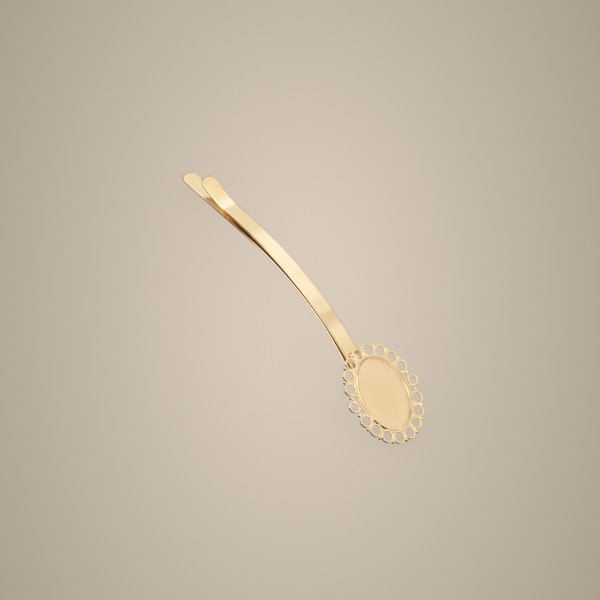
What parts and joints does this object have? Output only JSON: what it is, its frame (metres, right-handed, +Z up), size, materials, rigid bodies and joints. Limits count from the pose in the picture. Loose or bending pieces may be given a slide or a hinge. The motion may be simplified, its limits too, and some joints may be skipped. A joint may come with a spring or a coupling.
{
  "type": "hair clip",
  "caption": "Arched flat-strip hair clip that springs open at its fold, with an empty oval bezel cup and an openwork lace border of rings and grains on the closed end.",
  "frame": {"origin": "bottom centre of the clip's box as it rests on a flat surface with the cup upwards", "axes": "+X along the clip from its tips towards the cup, +Y across the strip, +Z up"},
  "size_m": [0.0856, 0.0212, 0.01],
  "materials": {
    "strip_gold": "polished, gold plated",
    "cup_gold": "satin floor and polished rim, gold plated",
    "lace_gold": "polished, gold plated",
    "solder": "dull, gold plated"
  },
  "bodies": {
    "lower_jaw": {"lower_leg": "strip_gold"},
    "upper_jaw": {"upper_leg": "strip_gold", "solder_joint": "solder", "bezel_cup": "cup_gold", "lace_ring_01": "lace_gold", "lace_ring_02": "lace_gold", "lace_ring_03": "lace_gold", "lace_ring_04": "lace_gold", "lace_ring_05": "lace_gold", "lace_ring_06": "lace_gold", "lace_ring_07": "lace_gold", "lace_ring_08": "lace_gold", "lace_ring_09": "lace_gold", "lace_ring_10": "lace_gold", "lace_ring_11": "lace_gold", "lace_ring_12": "lace_gold", "lace_ring_13": "lace_gold", "lace_ring_14": "lace_gold", "lace_ring_15": "lace_gold", "lace_ring_16": "lace_gold", "small_ring_1": "lace_gold", "small_ring_2": "lace_gold", "small_ring_3": "lace_gold", "small_ring_4": "lace_gold", "side_ring_1": "lace_gold", "side_ring_2": "lace_gold", "lace_grain_01": "lace_gold", "lace_grain_02": "lace_gold", "lace_grain_03": "lace_gold", "lace_grain_04": "lace_gold", "lace_grain_05": "lace_gold", "lace_grain_06": "lace_gold", "lace_grain_07": "lace_gold", "lace_grain_08": "lace_gold", "lace_grain_09": "lace_gold", "lace_grain_10": "lace_gold", "lace_grain_11": "lace_gold", "lace_grain_12": "lace_gold", "lace_grain_13": "lace_gold", "lace_grain_14": "lace_gold", "lace_grain_15": "lace_gold", "lace_grain_16": "lace_gold", "end_grain_1": "lace_gold", "end_grain_2": "lace_gold"}
  },
  "joints": [
    {"name": "fold_spring", "type": "hinge", "parent": "lower_jaw", "child": "upper_jaw", "pos_m": [0.0297, -0.002, 0.00311], "axis": [0, 1, 0], "range_deg": [0, 10], "stiffness_Nm_per_rad": 0.25}
  ]
}
